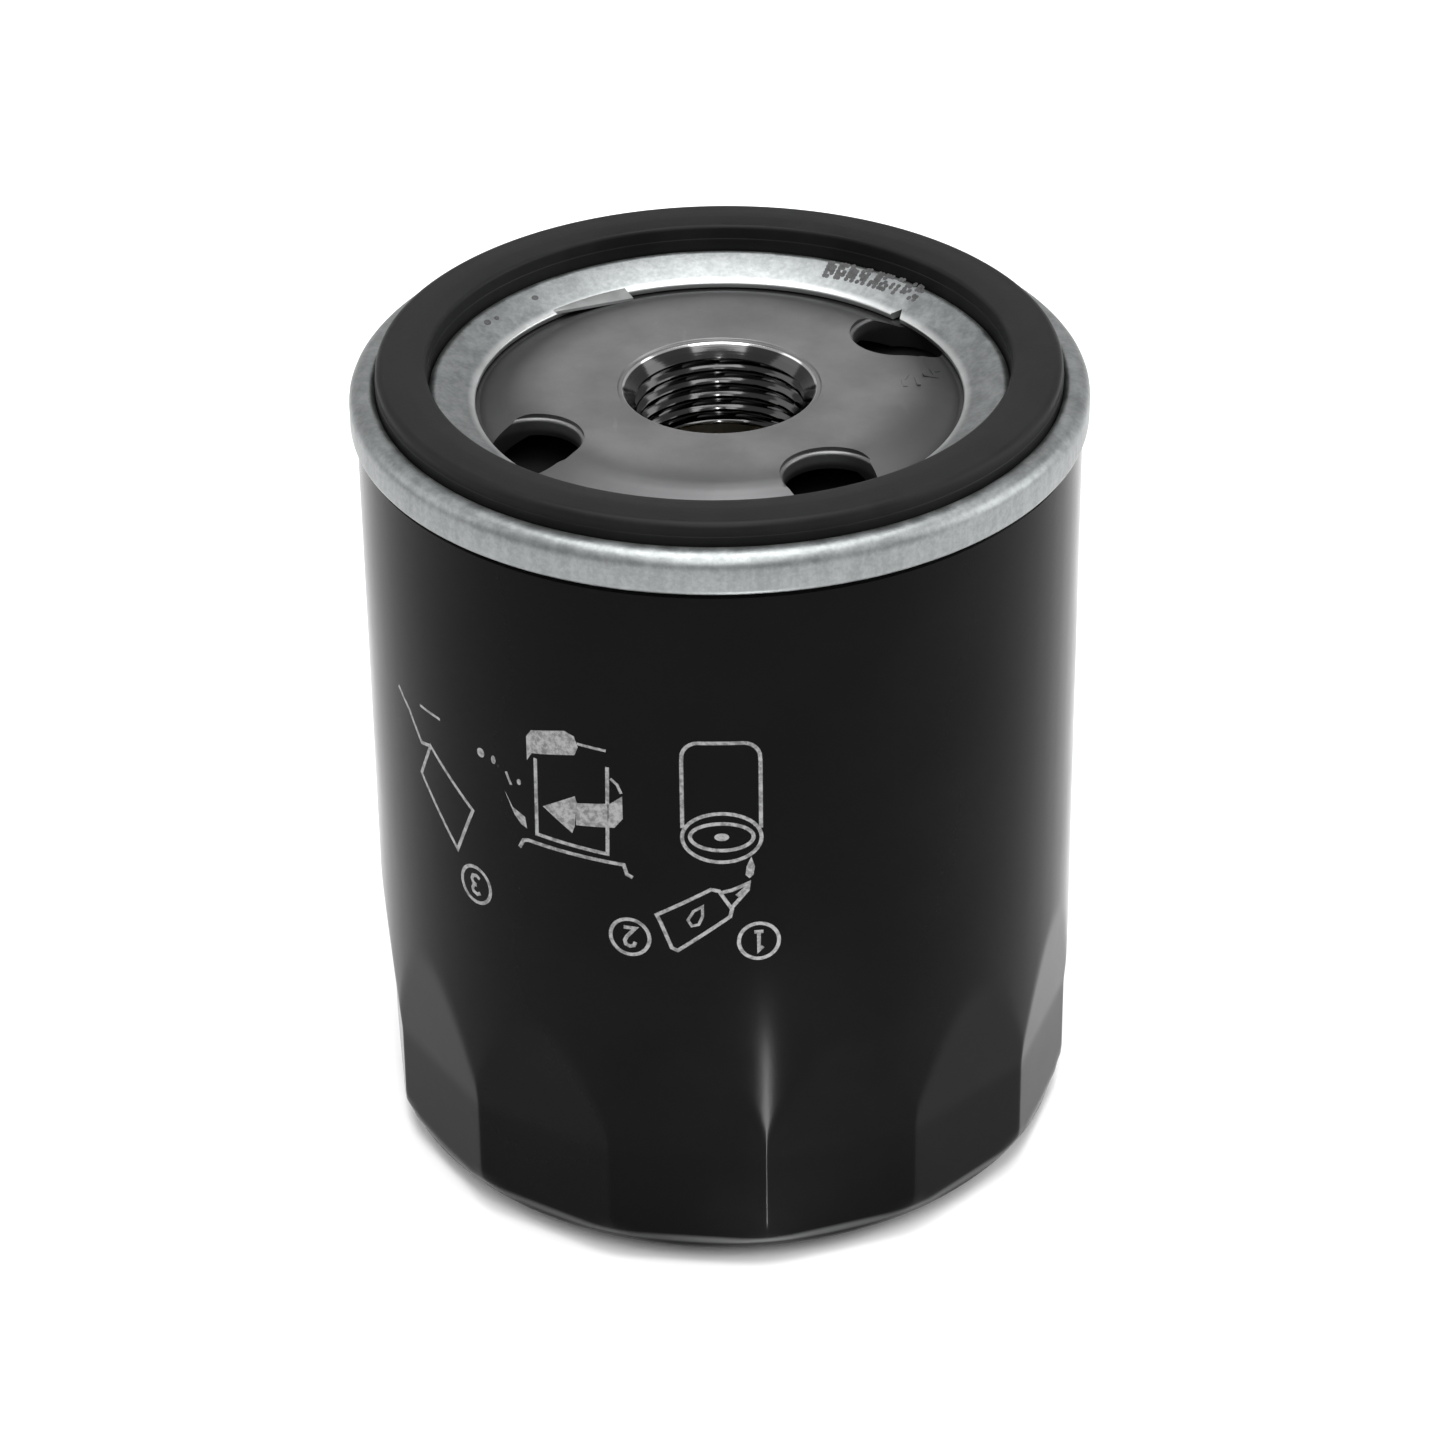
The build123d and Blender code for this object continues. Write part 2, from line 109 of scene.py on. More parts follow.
def rounded(points, steps=5):
    """An outline whose points (x, y, radius) are turned into arcs; a point (x, y) stays sharp."""
    outline = []
    count = len(points)
    for index, point in enumerate(points):
        corner = Vector(point[:2])
        if len(point) == 2:
            outline.append(tuple(corner))
            continue
        before = (Vector(points[index - 1][:2]) - corner).normalized()
        after = (Vector(points[(index + 1) % count][:2]) - corner).normalized()
        half_angle = before.angle(after) / 2
        reach = point[2] / tan(half_angle)
        centre = corner + (before + after).normalized() * point[2] / sin(half_angle)
        start = corner + before * reach - centre
        end = corner + after * reach - centre
        turn = start.angle_signed(end)
        for step in range(steps + 1):
            angle = -turn * step / steps
            outline.append((
                centre.x + start.x * cos(angle) - start.y * sin(angle),
                centre.y + start.x * sin(angle) + start.y * cos(angle),
            ))
    return outline


def dense(points, spacing):
    """The same open outline with no stretch longer than a spacing."""
    result = [points[0]]
    for start, end in zip(points, points[1:]):
        pieces = max(1, round((Vector(end) - Vector(start)).length / spacing))
        for piece in range(1, pieces + 1):
            share = piece / pieces
            result.append((start[0] + (end[0] - start[0]) * share, start[1] + (end[1] - start[1]) * share))
    return result


def piece_from(name, vertices, faces, sharp=35):
    """A smooth-shaded mesh object from vertices in millimetres."""
    mesh = bpy.data.meshes.new(name)
    mesh.from_pydata([(x * MM, y * MM, z * MM) for x, y, z in vertices], [], faces)
    work = bmesh.new()
    work.from_mesh(mesh)
    bmesh.ops.recalc_face_normals(work, faces=work.faces)
    work.to_mesh(mesh)
    work.free()
    mesh.shade_smooth()
    mesh.set_sharp_from_angle(angle=radians(sharp))
    piece = bpy.data.objects.new(name, mesh)
    bpy.context.scene.collection.objects.link(piece)
    return piece


def lathe(name, outline, azimuths=None, shape=None, sharp=35):
    """Turn an outline of (radius, height) about Z. One that starts and ends on the axis is closed there."""
    azimuths = azimuths or [index * 360 / 256 for index in range(256)]
    on_axis = outline[0][0] == 0
    rings = outline[1:-1] if on_axis else outline
    around = len(azimuths)
    vertices = []
    for radius, height in rings:
        for azimuth in azimuths:
            r, z = shape(azimuth, radius, height) if shape else (radius, height)
            vertices.append((*spoke(r, azimuth), z))
    faces = []
    for ring in range(len(rings) - (1 if on_axis else 0)):
        here = ring * around
        above = (ring + 1) % len(rings) * around
        for step in range(around):
            after = (step + 1) % around
            faces.append((here + step, here + after, above + after, above + step))
    if on_axis:
        for ring, height in ((0, outline[0][1]), (len(rings) - 1, outline[-1][1])):
            pole = len(vertices)
            vertices.append((0, 0, height))
            start = ring * around
            faces += [(start + step, start + (step + 1) % around, pole) for step in range(around)]
    return piece_from(name, vertices, faces, sharp)


def tube_along(name, path, radius, sides=12):
    """A round bar with closed ends along a list of points."""
    vertices = []
    for index, point in enumerate(path):
        ahead = Vector(path[min(index + 1, len(path) - 1)])
        behind = Vector(path[max(index - 1, 0)])
        along = (ahead - behind).normalized()
        across = along.cross(Vector((0, 0, 1))).normalized()
        up = across.cross(along)
        for side in range(sides):
            angle = 2 * pi * side / sides
            vertices.append(Vector(point) + across * radius * cos(angle) + up * radius * sin(angle))
    faces = []
    for ring in range(len(path) - 1):
        for side in range(sides):
            after = (side + 1) % sides
            faces.append((
                ring * sides + side,
                ring * sides + after,
                (ring + 1) * sides + after,
                (ring + 1) * sides + side,
            ))
    faces.append(tuple(range(sides)))
    faces.append(tuple(range((len(path) - 1) * sides, len(path) * sides)))
    return piece_from(name, vertices, faces)


def cut(piece, cutter):
    """Take the cutter away from the piece, then drop the cutter."""
    modifier = piece.modifiers.new("cut", "BOOLEAN")
    modifier.object = cutter
    modifier.solver = "EXACT"
    graph = bpy.context.evaluated_depsgraph_get()
    mesh = bpy.data.meshes.new_from_object(piece.evaluated_get(graph))
    piece.modifiers.remove(modifier)
    piece.data = mesh
    bpy.data.objects.remove(cutter)
    mesh.shade_smooth()
    mesh.set_sharp_from_angle(angle=radians(30))


# ---- material helpers ---------------------------------------------------------------------


class Surface:
    """A material being built: its nodes are added and linked by short calls."""

    def __init__(self, name, **sockets):
        self.material = bpy.data.materials.new(name)
        self.material.use_nodes = True
        self.tree = self.material.node_tree
        self.shader = self.tree.nodes["Principled BSDF"]
        for socket, value in sockets.items():
            self.shader.inputs[socket.replace("_", " ")].default_value = value
        self.place = self.add("ShaderNodeTexCoord").outputs["Object"]

    def add(self, kind, **settings):
        node = self.tree.nodes.new(kind)
        for setting, value in settings.items():
            setattr(node, setting, value)
        return node

    def link(self, value, socket):
        if hasattr(value, "is_output"):
            self.tree.links.new(value, socket)
        else:
            socket.default_value = value

    def noise(self, scale, detail=4.0, roughness=0.55, stretch=None):
        """Noise whose scale is in features per metre, optionally stretched."""
        place = self.place
        if stretch:
            mapping = self.add("ShaderNodeMapping")
            self.link(place, mapping.inputs["Vector"])
            mapping.inputs["Scale"].default_value = stretch
            place = mapping.outputs["Vector"]
        node = self.add("ShaderNodeTexNoise")
        self.link(place, node.inputs["Vector"])
        node.inputs["Scale"].default_value = scale
        node.inputs["Detail"].default_value = detail
        node.inputs["Roughness"].default_value = roughness
        return node.outputs["Fac"]

    def spots(self, scale):
        """Distance to scattered points, for specks."""
        node = self.add("ShaderNodeTexVoronoi")
        self.link(self.place, node.inputs["Vector"])
        node.inputs["Scale"].default_value = scale
        return node.outputs["Distance"]

    def math(self, operation, a, b=0.0, clamp=False):
        node = self.add("ShaderNodeMath", operation=operation, use_clamp=clamp)
        self.link(a, node.inputs[0])
        self.link(b, node.inputs[1])
        return node.outputs[0]

    def ramp(self, value, low, high, to_low=0.0, to_high=1.0):
        """Map a value's stretch from low to high on to another, with soft ends."""
        node = self.add("ShaderNodeMapRange", interpolation_type="SMOOTHSTEP")
        self.link(value, node.inputs["Value"])
        for socket, number in zip(("From Min", "From Max", "To Min", "To Max"), (low, high, to_low, to_high)):
            node.inputs[socket].default_value = number
        return node.outputs["Result"]

    def mix(self, share, a, b):
        """A colour between a and b."""
        node = self.add("ShaderNodeMix", data_type="RGBA")
        self.link(share, node.inputs["Factor"])
        for socket, colour in ((node.inputs[6], a), (node.inputs[7], b)):
            self.link((*colour, 1.0) if isinstance(colour, tuple) else colour, socket)
        return node.outputs[2]

    def radius(self):
        """Distance from the filter's axis, in metres."""
        node = self.add("ShaderNodeVectorMath", operation="MULTIPLY")
        self.link(self.place, node.inputs[0])
        node.inputs[1].default_value = (1, 1, 0)
        length = self.add("ShaderNodeVectorMath", operation="LENGTH")
        self.link(node.outputs["Vector"], length.inputs[0])
        return length.outputs["Value"]

    def height(self):
        """Height above the foot, in metres."""
        node = self.add("ShaderNodeSeparateXYZ")
        self.link(self.place, node.inputs[0])
        return node.outputs["Z"]

    def turned(self, bands_per_metre):
        """Fine rings around the axis, as a lathe or a press leaves them."""
        combine = self.add("ShaderNodeCombineXYZ")
        self.link(self.radius(), combine.inputs["X"])
        self.link(self.height(), combine.inputs["Y"])
        node = self.add("ShaderNodeTexNoise")
        self.link(combine.outputs["Vector"], node.inputs["Vector"])
        node.inputs["Scale"].default_value = bands_per_metre
        node.inputs["Detail"].default_value = 2.0
        return node.outputs["Fac"]

    def finish(self, colour, roughness, bump=None, depth=0.00002):
        self.link((*colour, 1.0) if isinstance(colour, tuple) else colour, self.shader.inputs["Base Color"])
        self.link(roughness, self.shader.inputs["Roughness"])
        if bump is not None:
            node = self.add("ShaderNodeBump")
            node.inputs["Distance"].default_value = depth
            node.inputs["Strength"].default_value = 1.0
            self.link(bump, node.inputs["Height"])
            self.link(node.outputs["Normal"], self.shader.inputs["Normal"])
        return self.material


def black_enamel():
    """Gloss black paint with orange peel, dust specks and a painted highlight line around the foot."""
    s = Surface("black_enamel", IOR=1.12)
    clouds = s.noise(45, 5)
    dust = s.ramp(s.spots(260), 0.0, 0.05, 1.0, 0.0)
    scarce = s.ramp(s.noise(30, 2), 0.60, 0.70)
    specks = s.math("MULTIPLY", dust, scarce)
    paint = s.mix(s.ramp(clouds, 0.35, 0.75), (0.0020, 0.0020, 0.0022), (0.0034, 0.0034, 0.0036))
    height = s.height()
    # Painted highlight: a lighter band 2.7 to 4 mm above the foot, broken up by the clouds, stands in for a
    # reflection on the foot's corner.
    foot_highlight_band = s.math("MULTIPLY", s.ramp(height, 0.0027, 0.0032), s.ramp(height, 0.0034, 0.0040, 1.0, 0.0))
    painted_foot_highlight = s.math("MULTIPLY", foot_highlight_band, s.ramp(clouds, 0.3, 0.6, 0.6, 1.0))
    paint = s.mix(painted_foot_highlight, paint, (0.075, 0.076, 0.077))
    colour = s.mix(s.math("MULTIPLY", specks, 0.35), paint, (0.16, 0.16, 0.16))
    rough = s.math("ADD", s.ramp(clouds, 0.3, 0.8, 0.13, 0.22), s.math("MULTIPLY", specks, 0.3))
    peel = s.math("MULTIPLY", s.noise(900, 2), 0.35)
    waves = s.noise(110, 2)
    return s.finish(colour, rough, s.math("ADD", peel, waves), 0.000012)


def zinc_plate():
    """Dull zinc plate: blotchy grey, with a painted highlight near the lid's inner edge, and rolling marks on
    the seam.
    """
    s = Surface("zinc_plate", Metallic=1.0)
    blotches = s.noise(420, 5, 0.6)
    fine = s.noise(1900, 4, 0.65)
    streaks = s.noise(700, 4, 0.6, (1.0, 1.0, 0.10))
    blend = s.math("ADD", s.math("MULTIPLY", blotches, 0.3), s.math("MULTIPLY", streaks, 0.3))
    blend = s.math("ADD", blend, s.math("MULTIPLY", fine, 0.4))
    colour = s.mix(s.ramp(blend, 0.36, 0.66), (0.175, 0.186, 0.186), (0.265, 0.277, 0.277))
    # Painted highlight: lighter within about 26 mm of the axis, over the lid's inner edge and the tang.
    inner_edge_highlight = s.ramp(s.radius(), 0.0254, 0.0262, 1.0, 0.0)
    colour = s.mix(s.math("MULTIPLY", inner_edge_highlight, 0.8), colour, (0.50, 0.51, 0.51))
    rough = s.ramp(blotches, 0.3, 0.75, 0.38, 0.50)
    bump = s.math("ADD", s.math("MULTIPLY", streaks, 0.6), s.math("MULTIPLY", fine, 0.25))
    return s.finish(colour, rough, bump, 0.00004)


def drawn_steel():
    """Dark oiled pressing with faint draw rings, a painted shadow towards the lid's edge and painted shade on
    its lower faces; inside the bore it is darker, with a painted highlight along the top of the machined
    chamfer.
    """
    s = Surface("drawn_steel", Metallic=1.0)
    radius = s.radius()
    blotches = s.noise(120, 6, 0.6)
    rings = s.turned(1800)
    scuffs = s.noise(500, 5, 0.6, (1.0, 0.25, 1.0))
    base = s.mix(s.ramp(blotches, 0.3, 0.72), (0.15, 0.15, 0.151), (0.20, 0.20, 0.201))
    base = s.mix(s.math("MULTIPLY", s.ramp(scuffs, 0.62, 0.8), 0.4), base, (0.27, 0.27, 0.27))
    edge_shadow = s.ramp(radius, 0.0165, 0.0220)
    base = s.mix(s.math("MULTIPLY", edge_shadow, 0.72), base, (0.05, 0.05, 0.052))
    # Painted shade below the plate's top: hole walls, collar, underside and the flange ring beside the lid's
    # edge.
    painted_low_shade = s.ramp(s.height(), 0.0843, 0.0850, 1.0, 0.0)
    base = s.mix(painted_low_shade, base, (0.05, 0.05, 0.05))
    # The bore: the chamfer and thread are smooth and darker, and a painted highlight runs along the chamfer's
    # top edge.
    chamfer = s.ramp(radius, 0.01005, 0.01012, 1.0, 0.0)
    rim_light = s.math("MULTIPLY", chamfer, s.ramp(radius, 0.00985, 0.00992))
    colour = s.mix(chamfer, base, (0.05, 0.05, 0.05))
    colour = s.mix(rim_light, colour, (0.50, 0.50, 0.495))
    thread = s.ramp(radius, 0.00938, 0.00945, 1.0, 0.0)
    colour = s.mix(thread, colour, (0.045, 0.045, 0.045))
    rough = s.mix(chamfer, (0.48, 0.48, 0.48), (0.11, 0.11, 0.11))
    bump = s.math("ADD", s.math("MULTIPLY", rings, 0.5), s.math("MULTIPLY", blotches, 0.5))
    return s.finish(colour, rough, bump, 0.00003)


def grey(level):
    """A colour with no hue."""
    return level, level, level


def moulded_rubber(name, dark, light, rough_low, rough_high):
    """Black nitrile rubber: faint bloom, fine grain and flow marks."""
    s = Surface(name, IOR=1.2)
    bloom = s.noise(90, 5, 0.6)
    grain = s.noise(2600, 3)
    rings = s.turned(900)
    colour = s.mix(s.ramp(bloom, 0.35, 0.75), dark, light)
    rough = s.ramp(bloom, 0.3, 0.7, rough_low, rough_high)
    bump = s.math("ADD", s.math("MULTIPLY", grain, 0.3), s.math("MULTIPLY", rings, 0.6))
    return s.finish(colour, rough, bump, 0.00003)


def tin_plate():
    """Bright tin plate with light staining."""
    s = Surface("tin_plate", Metallic=1.0)
    stain = s.noise(150, 5)
    fine = s.noise(1800, 2)
    colour = s.mix(s.ramp(stain, 0.35, 0.7), (0.46, 0.45, 0.42), (0.62, 0.61, 0.58))
    return s.finish(colour, s.ramp(stain, 0.3, 0.7, 0.25, 0.4), fine, 0.00001)


def spring_wire():
    """Dark drawn spring steel with lengthwise marks."""
    s = Surface("spring_wire", Metallic=1.0)
    stain = s.noise(220, 4)
    fine = s.noise(2200, 3)
    colour = s.mix(s.ramp(stain, 0.3, 0.7), (0.20, 0.20, 0.21), (0.34, 0.34, 0.35))
    return s.finish(colour, s.ramp(stain, 0.3, 0.7, 0.25, 0.38), fine, 0.00001)


def filter_paper():
    """Resin-bonded cellulose: fibres and small stains."""
    s = Surface("filter_paper")
    fibres = s.noise(1600, 6, 0.7, (1.0, 1.0, 0.3))
    stain = s.noise(80, 4)
    colour = s.mix(s.ramp(stain, 0.3, 0.7), (0.58, 0.42, 0.20), (0.70, 0.54, 0.29))
    return s.finish(colour, s.ramp(fibres, 0.3, 0.7, 0.78, 0.92), fibres, 0.00008)


def cured_compound(name, dark, light):
    """A poured compound with a soft, slightly uneven skin."""
    s = Surface(name)
    cloud = s.noise(140, 4)
    return s.finish(s.mix(cloud, dark, light), s.ramp(cloud, 0.3, 0.7, 0.4, 0.6), cloud, 0.00006)


def grey_ink():
    """Screen-printed grey ink, thin in places."""
    s = Surface("grey_ink")
    thin = s.noise(1400, 4, 0.7)
    colour = s.mix(s.ramp(thin, 0.35, 0.62), (0.08, 0.08, 0.08), (0.24, 0.24, 0.24))
    return s.finish(colour, s.ramp(thin, 0.3, 0.7, 0.45, 0.6), thin, 0.000004)


def dark_ink():
    """Dark marking ink, soaked and uneven."""
    s = Surface("dark_ink")
    thin = s.noise(1200, 4, 0.7)
    colour = s.mix(s.ramp(thin, 0.35, 0.65), (0.010, 0.010, 0.011), (0.045, 0.045, 0.047))
    return s.finish(colour, s.ramp(thin, 0.3, 0.7, 0.5, 0.7), thin, 0.000004)


MATERIALS = {
    "black_paint": black_enamel(),
    "zinc_plate": zinc_plate(),
    "drawn_steel": drawn_steel(),
    "gasket_rubber": moulded_rubber("gasket_rubber", grey(0.005), grey(0.009), 0.40, 0.55),
    "valve_rubber": moulded_rubber("valve_rubber", grey(0.004), grey(0.008), 0.35, 0.5),
    "tinned_steel": tin_plate(),
    "spring_steel": spring_wire(),
    "filter_paper": filter_paper(),
    "potting": cured_compound("potting", (0.42, 0.26, 0.12), (0.55, 0.37, 0.18)),
    "sealant": cured_compound("sealant", (0.16, 0.15, 0.14), (0.26, 0.25, 0.23)),
}
INKS = {"grey": grey_ink(), "dark": dark_ink()}


def dress(piece, material, body="casing"):
    """Give a piece its material and the body that it moves with."""
    piece.data.materials.clear()
    piece.data.materials.append(material)
    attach(piece, body)
    return piece


# ---- camera, light and floor --------------------------------------------------------------


def look_from(piece, place, target):
    """Put a camera or light at a place, aimed at a target."""
    piece.location = place
    piece.rotation_euler = (Vector(target) - Vector(place)).to_track_quat("-Z", "Y").to_euler()
    bpy.context.scene.collection.objects.link(piece)
    return piece


def area_light(name, place, target, size, power, size_y=None):
    lamp = bpy.data.lights.new(name, "AREA")
    lamp.shape = "RECTANGLE"
    lamp.size = size
    lamp.size_y = size_y or size
    lamp.energy = power
    return look_from(bpy.data.objects.new(name, lamp), place, target)


camera_data = bpy.data.cameras.new("camera")
camera_data.lens = 124.63
camera_data.sensor_width = 36
camera_target = (-0.00013, 0, 0.0452)
camera = look_from(bpy.data.objects.new("camera", camera_data), (-0.00013, -0.4576, 0.3292), camera_target)
camera_roll = Quaternion((0, 0, 1), radians(-0.732))
camera.rotation_euler = (camera.rotation_euler.to_quaternion() @ camera_roll).to_euler()
bpy.context.scene.camera = camera

area_light("overhead_softbox", (0.0, 0.0, 0.95), (0, 0, 0.04), 0.7, 10.0)
area_light("left_softbox", (-0.75, 0.1, 0.45), (0, 0, 0.04), 0.6, 1.8)
area_light("right_softbox", (0.75, 0.0, 0.40), (0, 0, 0.04), 0.6, 4.0)
area_light("front_strip", (0.0, -0.62, 0.70), (0, 0, 0.08), 0.05, 2.2, 0.5)
glint = area_light("ridge_glint", (0.0091, -0.0605, 0.001), (0.0091, -0.0605, 1.0), 0.0015, 0.016, 0.036)
glint.rotation_euler = (pi, 0, radians(12.5))
glint.visible_camera = False
area_light("thread_glint", (0.0, -0.30, 0.46), (0, 0, 0.082), 0.012, 0.35, 0.16)

world = bpy.data.worlds.new("studio")
bpy.context.scene.world = world
world.use_nodes = True
world.node_tree.nodes["Background"].inputs["Color"].default_value = (1, 1, 1, 1)
world.node_tree.nodes["Background"].inputs["Strength"].default_value = 0.62
bpy.context.scene.view_settings.view_transform = "Standard"


def studio_floor():
    """A pale sweep: a flat floor that curves up far behind the filter."""
    reach = 1.5
    wall = 0.9
    bend = 0.5
    profile = [(-reach, 0), (wall, 0)]
    profile += [(wall + bend * sin(radians(a)), bend - bend * cos(radians(a))) for a in range(10, 91, 10)]
    profile.append((wall + bend, 1.6))
    vertices = [(x / MM, y / MM, z / MM) for y, z in profile for x in (-reach, reach)]
    faces = [(2 * i, 2 * i + 1, 2 * i + 3, 2 * i + 2) for i in range(len(profile) - 1)]
    floor = piece_from("studio_floor", vertices, faces)
    s = Surface("floor_paper")
    cloud = s.noise(4, 2)
    floor.data.materials.append(s.finish(s.mix(cloud, (0.86, 0.855, 0.86), (0.88, 0.875, 0.88)), 0.6))


studio_floor()

# ---- can ----------------------------------------------------------------------------------

FLATS = 14
FLAT_APOTHEM = 36.45
FLAT_HEIGHT = 14.0
FLAT_RUNOUT = 28.5
RIDGE_AZIMUTH = 6.0
RIDGE_SOFTNESS = 0.04
FOOT_CORNER = 6.4
FOOT_INNER = 26.5
RECESS_RADIUS = 24.4
RECESS_DEPTH = 1.5
WALL_TOP = 40.0


def softest(distances, softness):
    """The smallest distance, with the corner between two of them rounded off."""
    least = min(distances)
    return least - softness * log(sum(exp((least - d) / softness) for d in distances))


def flat_radius(azimuth, height):
    """Radii of the wrench flats either side of an azimuth."""
    flare = (can_radius - FLAT_APOTHEM) * max(0.0, height - FLAT_HEIGHT) / (FLAT_RUNOUT - FLAT_HEIGHT)
    pitch = 360 / FLATS
    offset = (azimuth - RIDGE_AZIMUTH) % pitch
    return [(FLAT_APOTHEM + flare) / cos(radians(offset - pitch / 2 + shift)) for shift in (-pitch, 0, pitch)]


def build_can():
    outer = rounded([
        (0, RECESS_DEPTH),
        (RECESS_RADIUS, RECESS_DEPTH, 1.0),
        (FOOT_INNER, 0, 1.5),
        (can_radius, 0, FOOT_CORNER),
        (can_radius, WALL_TOP),
    ], 10)
    rim = [
        (can_radius, 60.0),
        (can_radius, seam_bottom - 0.5),
        (neck_radius, seam_bottom),
        (neck_radius, seam_bottom + 0.7),
        (neck_radius + 0.4, seam_bottom + 0.75),
        (neck_radius + 0.4, can_rim - 0.2),
        (neck_radius + 0.2, can_rim),
        (neck_radius - can_sheet, can_rim),
        (neck_radius - can_sheet, seam_bottom),
        (can_radius - can_sheet, seam_bottom - 0.5),
        (can_radius - can_sheet, 60.0),
    ]
    inner = rounded([
        (can_radius - can_sheet, WALL_TOP),
        (can_radius - can_sheet, can_sheet, FOOT_CORNER - can_sheet),
        (FOOT_INNER + can_sheet / 3, can_sheet, 1.0),
        (RECESS_RADIUS + can_sheet / 3, RECESS_DEPTH + can_sheet, 1.2),
        (0, RECESS_DEPTH + can_sheet),
    ], 10)
    outer = dense(outer, 0.8)
    inner = dense(inner, 0.8)
    inside = set(inner)

    def pressed(azimuth, radius, height):
        """Press the wrench flats into the wall and leave the foot's corner round."""
        if height > FLAT_RUNOUT + 10 or radius < 30.0:
            return radius, height
        inset = can_sheet if (radius, height) in inside else 0.0
        sides = [side - inset for side in flat_radius(azimuth, height)]
        return softest([radius, *sides], RIDGE_SOFTNESS), height

    half = 180 / FLATS
    middles = [RIDGE_AZIMUTH + half * (2 * flat + 1) for flat in range(FLATS)]
    azimuths = [middle + half * sin(pi / 2 * (2 * step / 30 - 1)) for middle in middles for step in range(30)]
    piece = lathe("can_shell", outer + rim + inner, azimuths, pressed, 40)
    dress(piece, MATERIALS["black_paint"])
    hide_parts("can")


build_can()

# ---- lid, gasket and base plate -----------------------------------------------------------

TANG_START = -137.0
TANG_END = -157.0
TANG_REACH = 2.0
TANG_SHEET = 0.32
NOTCH_AZIMUTH = 132.0


def lid_level(radius):
    """Top of the lid's dished annulus."""
    return lid_edge_level + (radius - lid_inner) * lid_rise


def build_lid():
    """The seaming lid: annulus, gasket groove, chuck wall, rolled seam and its tucked-in hem."""
    t = lid_sheet
    groove_floor = gasket_low
    inner_wall = gasket_inner - play
    chuck = gasket_radius + play
    hem = neck_radius + play
    outline = rounded([
        (lid_inner - 0.08, lid_level(lid_inner - 0.08), 0.25),
        (inner_wall, lid_level(inner_wall), 0.75),
        (inner_wall, groove_floor, 0.15),
        (chuck, groove_floor, 0.15),
        (chuck, seam_top, 0.7),
        (seam_radius, seam_top, 1.6),
        (seam_radius, seam_bottom, 0.75),
        (hem, seam_bottom, 0.2),
        (hem, seam_bottom + t, 0.2),
        (seam_radius - t, seam_bottom + t, 0.15),
        (seam_radius - t, seam_top - t, 1.0),
        (chuck + t, seam_top - t, 0.15),
        (chuck + t, groove_floor - t, 0.75),
        (inner_wall - t, groove_floor - t, 0.75),
        (inner_wall - t, lid_level(inner_wall - t) - lid_upright, 0.12),
        (lid_inner + 0.08, lid_level(lid_inner + 0.08) - lid_upright, 0.15),
    ], 6)
    piece = lathe("lid_rolled", outline, [index for index in range(360)], None, 40)
    x, y = spoke(lid_inner, NOTCH_AZIMUTH)
    along = Vector(spoke(1, NOTCH_AZIMUTH))
    across = Vector((-along.y, along.x))
    notch = ((1.0, 0), (-0.6, 1.1), (-0.6, -1.1))
    corners = [Vector((x, y)) + along * out + across * side for out, side in notch]
    levels = (lid_edge_level - 3, lid_edge_level + 3)
    vertices = [(corner.x, corner.y, level) for level in levels for corner in corners]
    faces = [(0, 1, 2), (3, 5, 4), (0, 3, 4, 1), (1, 4, 5, 2), (2, 5, 3, 0)]
    cut(piece, piece_from("notch_cutter", vertices, faces))
    dress(piece, MATERIALS["zinc_plate"])
    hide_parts("seaming_lid")


def build_tang():
    """The tongue left by the blanking tool, which lies on the base plate's shoulder."""
    steps = 16
    rows = 4
    start = Vector(spoke(lid_inner, TANG_START))
    end = Vector(spoke(lid_inner - TANG_REACH, TANG_END))
    top = []
    for step in range(steps + 1):
        share = step / steps
        edge = Vector(spoke(lid_inner + 0.4, TANG_START + (TANG_END - TANG_START) * share))
        foot = start.lerp(end, share)
        for row in range(rows + 1):
            place = edge.lerp(foot, row / rows)
            level = lid_edge_level + 0.28 - 0.05 * (row / rows) ** 2
            top.append((place.x, place.y, max(level, plate_level(place.length) + 0.06)))
    count = len(top)
    below = [(x, y, max(z - TANG_SHEET, plate_level(Vector((x, y)).length) + 0.005)) for x, y, z in top]
    faces = []
    for step in range(steps):
        for row in range(rows):
            a = step * (rows + 1) + row
            quad = (a, a + 1, a + rows + 2, a + rows + 1)
            faces += [quad, tuple(count + corner for corner in reversed(quad))]
    rim = [step * (rows + 1) for step in range(steps + 1)]
    rim += [steps * (rows + 1) + row for row in range(1, rows + 1)]
    rim += [step * (rows + 1) + rows for step in range(steps - 1, -1, -1)]
    rim += [row for row in range(rows - 1, 0, -1)]
    faces += [(a, b, count + b, count + a) for a, b in zip(rim, rim[1:] + rim[:1])]
    piece = piece_from("lid_tang", top + below, faces)
    dress(piece, MATERIALS["zinc_plate"])


def plate_level(radius):
    """Top of the base plate: a flat flange, a short slope and the raised middle."""
    share = min(1.0, max(0.0, (flange_radius - radius) / (flange_radius - plateau_radius)))
    return flange_top + (plate_top - flange_top) * share


build_lid()
build_tang()


